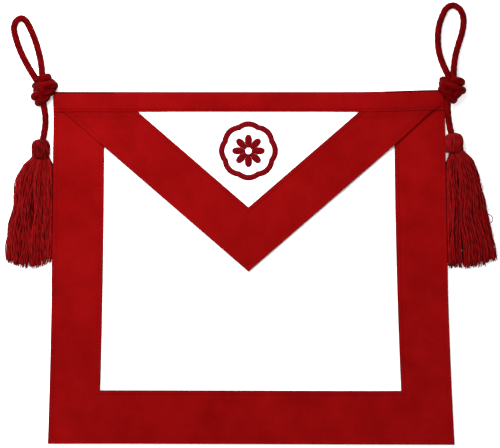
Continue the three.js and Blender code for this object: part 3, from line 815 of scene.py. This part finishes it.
def arm_press(x, y):
    """How flat the edge of an arm is pressed where it lies over the side border, the left one more."""
    inset = (y - v_up(x, 0)) / flap_slant
    over_left = smooth((flap_left + SIDE_BORDER - x) / ARM_PRESS_FADE)
    over_right = smooth((x - flap_right + SIDE_BORDER) / ARM_PRESS_FADE)
    return smooth(1 - inset / ARM_PRESS) * max(over_left, RIGHT_PRESS * over_right)


def flap_top(x, y):
    return flap_base(x, y) + FLAP_WALL * (1 - FLAP_PRESSED * arm_press(x, y))


def felt_pressed(x, y):
    """How much lower the felt on an arm is where it is pressed flat."""
    return FELT_PRESSED * FELT_WALL * arm_press(x, y)


def v_up(x, inset):
    """How far up the page the V is, moved in from the flap's edge by an inset."""
    return flap_point + inset * flap_slant + flap_rise * abs(x - FLAP_AXIS)


def v_half(y, inset):
    return (y - flap_point - inset * flap_slant) / flap_rise


def flap_place(share, down, above):
    y = HEIGHT / 2 - down
    half = max(0, v_half(y, BODY_INSET))
    left = max(FLAP_AXIS - half, flap_left + BODY_INSET)
    right = min(FLAP_AXIS + half, flap_right - BODY_INSET)
    x = lerp(left, right, share)
    y += (top_edge(x) - HEIGHT / 2) * smooth(1 - down / CORNER_FADE)
    return x, y, flap_top(x, y) if above else flap_base(x, y)


flap_tip = FLAP_DEPTH - BODY_INSET * flap_slant
flap_rows = spaced(FOLD_DEPTH, flap_tip, 70)
flap = cloth("flap_cotton", spaced(0, 1, 90), flap_rows, flap_place, white_cotton)
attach(flap, "root")
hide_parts("flap_panel")


def v_point(inset, share):
    """A point on the V at an inset: share runs from the left end at -1 to the point at 0 and on to 1."""
    end_up = HEIGHT / 2 - FOLD_DEPTH
    half = min(v_half(end_up, inset), (flap_right - flap_left) / 2)
    x = FLAP_AXIS + half * share
    x = min(max(x, flap_left), flap_right)
    y = v_up(x, inset)
    return x, y + (top_edge(x) - HEIGHT / 2) * smooth((y - 0.1) / CORNER_FADE)


def flap_border_place(share, inset, above):
    x, y = v_point(inset, share)
    base = flap_top(x, y) + CLEAR
    if not above:
        return x, y, base if inset > EDGE_WRAP else flap_base(x, y)
    rim = turned_edge(inset) + turned_edge(FLAP_BORDER - inset)
    return x, y, base + FELT_WALL - CLEAR - RIM_RISE + rim - felt_pressed(x, y)


flap_strip = felt_insets(FLAP_BORDER, 12)
flap_border = cloth("flap_border_felt", spaced(-1, 1, 150), flap_strip, flap_border_place, red_felt)


def fade_painted_edge_shade(piece, edge_shade_off):
    """Takes the painted edge shade off a cut edge where it is pressed into the cloth below."""
    for vert, mark in zip(piece.data.vertices, piece.data.attributes["edge"].data):
        mark.value *= 1 - edge_shade_off(vert.co.x, vert.co.y)


fade_painted_edge_shade(flap_border, lambda x, y: 0.8 * arm_press(x, y))
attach(flap_border, "root")
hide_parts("flap_border")


def flap_border_top(x, y):
    return flap_top(x, y) + FELT_WALL - RIM_RISE - SEAM_DENT - felt_pressed(x, y)


flap_seams = []
for inset in (SEAM_INSET, FLAP_BORDER - SEAM_INSET):
    reach = v_half(HEIGHT / 2 - BAND_HEIGHT, inset) / v_half(HEIGHT / 2 - FOLD_DEPTH, inset)
    shares = spaced(0.004, min(reach, 0.96), 50)
    for arm in (-1, 1):
        flap_seams.append([Vector((*v_point(inset, arm * share), 0)) for share in shares])
sew("flap_stitching", flap_seams, flap_border_top)


# Top band
# A strip of the red felt folded over the top edge, front and back, and stitched through all the layers.
# It steps up over the arms of the V and down again beside the flap's edge.
BAND_WALL = 0.0012
BAND_SEAM = 0.0026
BAND_EDGE = 0.3  # share of the wall that is left where the edge is pressed flat
BAND_PRESS = 0.0055
ARM_STEPS = (0.009, 0.0034)  # at the left arm and at the right
OFF_FLAP_DROP = 0.62


def on_arm(x):
    """1 where the band crosses an arm of the V."""
    y = HEIGHT / 2 - BAND_HEIGHT
    return smooth((abs(x - FLAP_AXIS) - v_half(y, FLAP_BORDER) + 2 * STEP_RUN) / STEP_RUN)


def band_under(x):
    """Height of the front leg's underside, over the flap's cotton and the felt on its arms."""
    return on_arm(x) * (FELT_WALL + CLEAR) + 3 * CLEAR


def off_flap(x, y):
    """1 where the band has left the flap's slanted edge behind and lies on the side border alone."""
    return smooth((v_up(x, 0) - y) / ARM_STEPS[x > 0] + 0.5)


def band_front(x, y):
    drop = OFF_FLAP_DROP * off_flap(x, y) * (FELT_WALL + FLAP_WALL)
    return flap_top(x, y) + band_under(x) - drop


def band_rows():
    """Stations round the band's section: the back leg, the fold, and the front leg down to its edge."""
    legs = [("back", share) for share in spaced(0, 1, 6)]
    fold = [("fold", share) for share in spaced(0, 1, 8)[1:-1]]
    edge = [1 - inset / (BAND_HEIGHT - FOLD_DEPTH) for inset in reversed(EDGE_INSETS[:-1])]
    front = [("front", share) for share in [*spaced(0, edge[0] - 0.06, 4), *edge]]
    return [*legs, *fold, *front]


def band_place(share, row, above):
    """The outside of the band is its upper side on the front leg and its lower side on the back leg."""
    part, station = row
    x = lerp(flap_left, flap_right, share)
    top = top_edge(x)
    out = BAND_WALL if above else 0
    if part == "back":
        down = lerp(BAND_HEIGHT, FOLD_DEPTH, station)
        return x, up_at(x, down), BAND_WALL - out + CLEAR
    if part == "front":
        down = lerp(FOLD_DEPTH, BAND_HEIGHT, station)
        y = up_at(x, down)
        inset = BAND_HEIGHT - down
        full = smooth(inset / BAND_PRESS)
        wall = out * lerp(BAND_EDGE, 1, full) - RIM_RISE * full
        return x, y, band_front(x, y) + (wall if above else 0)
    low, high = BAND_WALL + CLEAR, band_front(x, top - FOLD_DEPTH)
    angle = math.pi * (station - 0.5)
    deep = FOLD_DEPTH - BAND_WALL + out
    tall = (high - low) / 2 + out
    y = top - FOLD_DEPTH + deep * math.cos(angle)
    return x, y, (high + low) / 2 + tall * math.sin(angle)


def band_edge_shade_off(x, y):
    """How much of the painted edge shade comes off the band's lower edge, where it is pressed into the red
    felt.
    """
    near_edge = smooth((down_at(x, y) - BAND_HEIGHT + 0.003) / 0.002)
    return 0.85 * near_edge * smooth((abs(x - FLAP_AXIS) - v_half(y, FLAP_BORDER)) / 0.006)


band = cloth("band_felt", spaced(0, 1, 190), band_rows(), band_place, red_felt)
fade_painted_edge_shade(band, band_edge_shade_off)
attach(band, "root")
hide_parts("top_band")


def band_top(x, y):
    return band_front(x, y) + BAND_WALL - RIM_RISE - SEAM_DENT


seam_across = spaced(flap_left + 0.004, flap_right - 0.004, 120)
band_seam = [Vector((x, up_at(x, BAND_HEIGHT - BAND_SEAM), 0)) for x in seam_across]
sew("band_stitching", [band_seam], band_top)


# Emblem
# A round ornament embroidered on the flap in red thread: a scalloped ring and a flower of eight petals
# inside it, both in satin stitch, whose threads lie side by side across each stroke.
EMBLEM_MIDDLE = Vector((FLAP_AXIS, HEIGHT / 2 - 0.0589))
EMBLEM_DIAMETER = 0.059
EMBLEM_STROKE = 0.0055
EMBLEM_RISE = 0.0009
EMBLEM_LOBES = 8
SCALLOP_DEPTH = 0.3
ROSETTE_RADIUS = 0.0165
ROSETTE_EYE = 0.00325
PETAL_CLEFT = 0.52
SATIN_THREAD = 0.00036
SATIN_PITCH = 0.00056

satin_thread = yarn_material(
    "satin_thread",
    deep=(0.05, 0.0003, 0.0012),
    bright=(0.135, 0.0012, 0.003),
    around=2,
    pitch=0.0016,
    relief=0.00004,
    roughness=0.55,
    gloss=0.07,
)


def add_satin(bm, start, end, tone):
    """One thread of satin stitch, rising from the cloth at each end over its padding."""
    line = []
    for share in (0, 0.08, 0.25, 0.5, 0.75, 0.92, 1):
        x, y = EMBLEM_MIDDLE + start.lerp(end, share)
        arch = (EMBLEM_RISE - SATIN_THREAD) * (1 - (2 * share - 1) ** 4)
        line.append(Vector((x, y, flap_top(x, y) + arch)))
    add_tube(bm, line, lambda along: SATIN_THREAD, 6, UP, tone)


def polar(angle, radius):
    return Vector((math.cos(angle), math.sin(angle))) * radius


chance = random.Random(8)
ring_mesh = bmesh.new()
threads = round(math.pi * EMBLEM_DIAMETER / SATIN_PITCH)
for k in range(threads):
    angle = 2 * math.pi * k / threads
    scallop = abs(math.cos(EMBLEM_LOBES * angle / 2)) - 1
    outer = EMBLEM_DIAMETER / 2 + SCALLOP_DEPTH * EMBLEM_STROKE * scallop
    outer += chance.uniform(-0.0001, 0.0001)
    add_satin(ring_mesh, polar(angle, outer - EMBLEM_STROKE), polar(angle, outer), chance.random())
close_seams(ring_mesh)
ring = to_object(ring_mesh, "emblem_ring_threads", satin_thread)
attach(ring, "root")
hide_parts("emblem_ring")

rosette_mesh = bmesh.new()
half_petal = math.pi / EMBLEM_LOBES
petal_edge = []
for k in range(41):
    angle = half_petal * k / 40
    round_out = abs(math.cos(EMBLEM_LOBES * angle / 2)) ** 0.7
    petal_edge.append(polar(angle, ROSETTE_RADIUS * lerp(PETAL_CLEFT, 1, round_out)))
petal_edge.append(polar(half_petal, ROSETTE_EYE))
petal_edge.reverse()
threads = round((ROSETTE_RADIUS - ROSETTE_EYE) / SATIN_PITCH)
for petal in range(EMBLEM_LOBES):
    turn = 2 * math.pi * petal / EMBLEM_LOBES
    along_way, across_way = polar(turn, 1), polar(turn + math.pi / 2, 1)
    for k in range(threads):
        out = lerp(ROSETTE_EYE, ROSETTE_RADIUS - SATIN_THREAD, (k + 0.5) / threads)
        wide = np.interp(out, [p.x for p in petal_edge], [p.y for p in petal_edge])
        wide = max(wide - 0.0002 + chance.uniform(-0.0001, 0.0001), 0.0006)
        middle = along_way * out
        add_satin(rosette_mesh, middle - across_way * wide, middle + across_way * wide, chance.random())
close_seams(rosette_mesh)
rosette = to_object(rosette_mesh, "emblem_rosette_threads", satin_thread)
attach(rosette, "root")
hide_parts("emblem_rosette")


# Tassels
# Each drop ends in a tassel: a skein of thick soft rayon yarn folded over the cord's end and bound at
# the neck, so that the fold makes the rounded head and the cut ends hang as a skirt. The inner yarns
# lie under the raised side edge of the apron.
YARN_RADIUS = 0.00068
YARN_SIDES = 5
YARN_STEPS = 40
HEAD_RADIUS = 0.0095
HEAD_YARNS = 46
# Each head's tone: the left head darker than the right, painted shade and painted light for how the light
# falls on them.
HEAD_PAINTED_LIGHT_AND_SHADE = {"left": -0.1, "right": 0.45}
HEAD_SHADES = 0.3
NECK_TURNS = 3
NECK_HALF_WIDTH = 0.0079
NECK_HALF_HEIGHT = 0.0072
NECK_DROP = 0.0009
NECK_THREAD = 0.00055
NECK_STEPS = 32
SKIRT_WIDTH = 0.036
SKIRT_HEIGHT = 0.0155
LOCKS = 17
# The skirt's layers: how far each is from its middle, as a share of its half size, and its yarns.
LAYERS = [(0.98, 128), (0.8, 84), (0.55, 48), (0.25, 24)]
SIDE_SHORTER = {"left": (0.08, 0.055), "right": (0.015, 0.07)}  # towards the apron and away from it
TUCK_CLEAR = 0.0003
HAIRS = 26
HAIR_RADIUS = 0.00011
HAIR_DROP = 0.008
STRAY_RADIUS = 0.0005

# Shares of the skirt's length, and of its width and height: the outer side, the inner side, the depth.
SKIRT_COLUMNS = ("along", "out", "inn", "thick")
SKIRTS = {
    "left": [
        (0, 0.27, 0.24, 0.98),
        (0.03, 0.37, 0.29, 1.0),
        (0.06, 0.49, 0.34, 1.0),
        (0.16, 0.65, 0.39, 0.97),
        (0.31, 0.77, 0.42, 0.92),
        (0.44, 0.83, 0.43, 0.86),
        (0.57, 0.885, 0.44, 0.8),
        (0.73, 0.93, 0.45, 0.73),
        (0.87, 1.0, 0.45, 0.64),
        (1, 1.06, 0.43, 0.5),
    ],
    "right": [
        (0, 0.28, 0.15, 0.98),
        (0.03, 0.41, 0.15, 1.0),
        (0.075, 0.56, 0.2, 1.0),
        (0.11, 0.6, 0.25, 0.99),
        (0.23, 0.724, 0.256, 0.96),
        (0.41, 0.86, 0.276, 0.87),
        (0.54, 0.944, 0.286, 0.82),
        (0.65, 1.034, 0.296, 0.77),
        (0.88, 1.224, 0.326, 0.63),
        (1, 1.274, 0.316, 0.5),
    ],
}
# Shares of the head's length from the cord's end, and of its radius.
HEAD_COLUMNS = ("along", "round")
HEAD_PROFILE = [
    (0, 0.36),
    (0.05, 0.68),
    (0.14, 0.88),
    (0.3, 0.985),
    (0.5, 1.0),
    (0.76, 0.97),
    (0.92, 0.86),
    (1.04, 0.76),
]


def read_table(rows, columns, column, at):
    return float(np.interp(at, [row[0] for row in rows], [row[columns.index(column)] for row in rows]))


def tucked(side, point, radius, low):
    """Keeps a yarn clear of the apron: a low one goes under its side edge, and a high one beside it."""
    down = down_at(point.x, point.y)
    if not 0 < down < HEIGHT:
        return point
    edge = left_edge(down) if side["side"] < 0 else right_edge(down)
    past = side["side"] * (edge - point.x) + radius + TUCK_CLEAR
    if low:
        inside_x = min(max(point.x, left_edge(down)), right_edge(down))
        ceiling = lift(inside_x, point.y) - radius - TUCK_CLEAR + max(0, -past)
        point.z = max(radius, min(point.z, ceiling))
        if ceiling > radius:
            return point
    if past > 0:
        point.x += side["side"] * past
    return point


def skirt_yarn(side, angle, depth, chance):
    """The line of one yarn of the skirt, from inside the neck to its tip."""
    rows = SKIRTS[side["name"]]
    lock = (math.floor(angle / (2 * math.pi) * LOCKS) + 0.5) / LOCKS * 2 * math.pi
    lock_chance = random.Random(round(lock * 1000) + 7 * side["side"])
    lock_phase, lock_sway = lock_chance.uniform(0, 6.28), lock_chance.uniform(0.0006, 0.0015)
    phase, waves = chance.uniform(0, 6.28), chance.uniform(1.6, 4.0)
    sway, drift = chance.uniform(0.0003, 0.0009), chance.gauss(0, 0.1)
    low = math.sin(angle) < 0.3
    shorter = SIDE_SHORTER[side["name"]][math.cos(angle) > 0]
    reach = 1 - shorter * math.cos(angle) ** 2
    reach -= chance.uniform(-0.014, 0.034) + 0.022 * lock_chance.random()
    line = []
    for i in range(YARN_STEPS + 1):
        along = lerp(-0.03, reach, i / YARN_STEPS)
        loose = smooth(along / 0.25)
        out, inn = (read_table(rows, SKIRT_COLUMNS, way, along) * SKIRT_WIDTH for way in ("out", "inn"))
        thick = read_table(rows, SKIRT_COLUMNS, "thick", along) * SKIRT_HEIGHT
        turned = angle + 0.2 * (lock - angle) * smooth(along) + drift * loose * smooth(1.4 - along)
        middle, half = (out - inn) / 2, (out + inn) / 2 - YARN_RADIUS
        centre = lerp(0.5, 0.36, loose) * thick
        room = (thick - centre if math.sin(turned) > 0 else centre) - YARN_RADIUS
        wave = lock_sway * math.sin(2 * math.pi * 1.7 * along + lock_phase)
        wave += sway * math.sin(2 * math.pi * waves * along + phase)
        across = middle + half * depth * math.cos(turned) + wave * loose
        height = centre + room * depth * math.sin(turned) + 0.5 * wave * loose
        point = Vector((side["side"] * across, -HEAD_LENGTH - along * side["skirt"], height)) + side["head"]
        point.z = max(point.z, YARN_RADIUS)
        line.append(tucked(side, point, YARN_RADIUS, low))
    return line


def head_yarn(axis, angle, lean):
    """A yarn that runs from the cord over the shoulder of the head and down into the neck."""
    line = []
    for i in range(15):
        along = 1.04 * (i / 14) ** 1.5
        radius = read_table(HEAD_PROFILE, HEAD_COLUMNS, "round", along) * HEAD_RADIUS - YARN_RADIUS
        turned = angle + lean * along
        across, height = radius * math.cos(turned), radius * math.sin(turned)
        line.append(axis + Vector((across, -along * HEAD_LENGTH - YARN_RADIUS, height)))
    return line


def add_head(bm, side, chance):
    axis = side["head"] + Vector((0, 0, HEAD_RADIUS))
    for k in range(HEAD_YARNS):
        angle = 2 * math.pi * (k + chance.uniform(-0.2, 0.2)) / HEAD_YARNS
        ahead = Vector((math.cos(angle), 0, math.sin(angle)))
        line = head_yarn(axis, angle, chance.uniform(-0.12, 0.2))
        tone = HEAD_PAINTED_LIGHT_AND_SHADE[side["name"]] + HEAD_SHADES * chance.random()
        add_tube(bm, line, lambda share: YARN_RADIUS * 1.1, YARN_SIDES, ahead, tone)
    rows = [(along, share * 0.9) for along, share in HEAD_PROFILE]
    line = [axis - Vector((0, along * HEAD_LENGTH, 0)) for along, _ in rows]
    radii = [share * HEAD_RADIUS for _, share in rows]
    add_tube(bm, line, lambda share: radii[round(share * (len(rows) - 1))], 24, UP, 0.2)
    for turn in range(NECK_TURNS):
        down = HEAD_LENGTH * (0.97 + 0.055 * turn)
        ring = []
        for k in range(NECK_STEPS + 1):
            angle = 2 * math.pi * (k % NECK_STEPS) / NECK_STEPS
            height = NECK_HALF_HEIGHT * math.sin(angle) - NECK_DROP
            ring.append(axis + Vector((NECK_HALF_WIDTH * math.cos(angle), -down, height)))
        add_tube(bm, ring, lambda share: NECK_THREAD, YARN_SIDES, Vector((0, 1, 0)), 0.25)


def yarn_radius(share):
    """A yarn is pinched in the neck and worn to a thinner tip."""
    return YARN_RADIUS * lerp(0.62, 1.0, smooth(share / 0.3)) * (1 - 0.35 * smooth(share * 20 - 19))


def add_hair(bm, side, chance):
    """A thin fibre that has come loose from the skirt and stands out from it."""
    rows = SKIRTS[side["name"]]
    along = chance.uniform(0.02, 0.9)
    out = read_table(rows, SKIRT_COLUMNS, "out", along) * SKIRT_WIDTH
    x = side["head"].x + side["side"] * (out - 0.0015)
    y = side["head"].y - HEAD_LENGTH - along * side["skirt"]
    away, curl = chance.uniform(0.0015, 0.0042), chance.uniform(-0.003, 0.005)
    height = chance.uniform(0.003, 0.008)
    line = []
    for share in spaced(0, 1, 7):
        bend = math.sin(share * 2.6)
        down = HAIR_DROP * share - curl * share**2
        line.append(Vector((x + side["side"] * away * bend, y - down, height + 0.002 * bend)))
    add_tube(bm, line, lambda share: HAIR_RADIUS, 4, UP, chance.random())


# One yarn of the right skirt stands out as a small loop: points from the head's top.
STRAY_LOOP = [
    (0.0322, -0.0806, 0),
    (0.0362, -0.0816, 0),
    (0.0386, -0.0843, 0),
    (0.0387, -0.0872, 0),
    (0.0366, -0.0898, 0),
    (0.0328, -0.0910, 0),
]

fringe_yarn = yarn_material(
    "fringe_yarn",
    deep=(0.02, 0.0004, 0.0005),
    bright=(0.185, 0.0036, 0.004),
    around=2,
    pitch=0.011,
    relief=0.00006,
    roughness=0.6,
    gloss=0.03,
)

for side in SIDES:
    chance = random.Random(21 + side["side"])
    tassel_mesh = bmesh.new()
    add_head(tassel_mesh, side, chance)
    for depth, yarns in LAYERS:
        for k in range(yarns):
            angle = 2 * math.pi * (k + chance.uniform(-0.3, 0.3)) / yarns
            own_depth = depth + chance.uniform(-0.07, 0.02)
            line = skirt_yarn(side, angle % (2 * math.pi), own_depth, chance)
            # Yarns of the inner layers are darker, painted shade for the inside of the skirt; the rest is
            # random tone and a tone that differs from lock to lock.
            shade = (0.2 + 0.8 * chance.random()) * (0.45 + 0.55 * depth)
            shade += 0.14 * math.sin(6 * angle + 5 * depth)
            add_tube(tassel_mesh, line, yarn_radius, YARN_SIDES, UP, shade)
    for _ in range(HAIRS):
        add_hair(tassel_mesh, side, chance)
    if side["side"] > 0:
        stray = smooth_route(side["head"] + Vector((0, 0, 0.007)), STRAY_LOOP, 0.0008)
        add_tube(tassel_mesh, stray, lambda share: STRAY_RADIUS, YARN_SIDES, UP, 0.1)
    close_seams(tassel_mesh)
    tassel = to_object(tassel_mesh, f"{side['name']}_tassel_yarn", fringe_yarn)
    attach(tassel, "root")
    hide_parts(f"{side['name']}_tassel")


# Floor and light
# A plain white light table, a little lit from below as for a cut-out picture, one soft box over the upper
# left, and an even fill.
FLOOR_HALF = 4.0
KEY_PLACE = Vector((-0.3, 0.5, 0.8))
KEY_AIM = Vector((0, 0.05, 0))
KEY_SIZE = 0.6
KEY_WATTS = 18.5
FILL_STRENGTH = 0.82
TABLE_GLOW = 0.34

floor_mesh = bmesh.new()
bmesh.ops.create_grid(floor_mesh, x_segments=1, y_segments=1, size=FLOOR_HALF)
values = {"Roughness": 0.9, "Specular IOR Level": 0.1, "Emission Strength": TABLE_GLOW}
table_white, tree, shader = new_material("table_white", values)
patch = noise_at(tree, add_node(tree, "TexCoord").outputs["Object"], 3.0)
tint = blend(tree, patch, (0.955, 0.955, 0.955, 1), (0.975, 0.975, 0.975, 1))
tree.links.new(tint, shader.inputs["Base Color"])
floor = to_object(floor_mesh, "floor", table_white)

key_light = bpy.data.lights.new("key_light", "AREA")
key_light.shape = "DISK"
key_light.size = KEY_SIZE
key_light.energy = KEY_WATTS
key = bpy.data.objects.new("key_light", key_light)
key.location = KEY_PLACE
key.visible_camera = False
key.rotation_euler = (KEY_AIM - KEY_PLACE).to_track_quat("-Z", "Y").to_euler()
bpy.context.scene.collection.objects.link(key)

studio = bpy.data.worlds.new("studio")
studio.use_nodes = True
background = studio.node_tree.nodes["Background"]
background.inputs["Color"].default_value = (1, 1, 1, 1)
background.inputs["Strength"].default_value = FILL_STRENGTH
bpy.context.scene.world = studio
bpy.context.scene.view_settings.view_transform = "Standard"
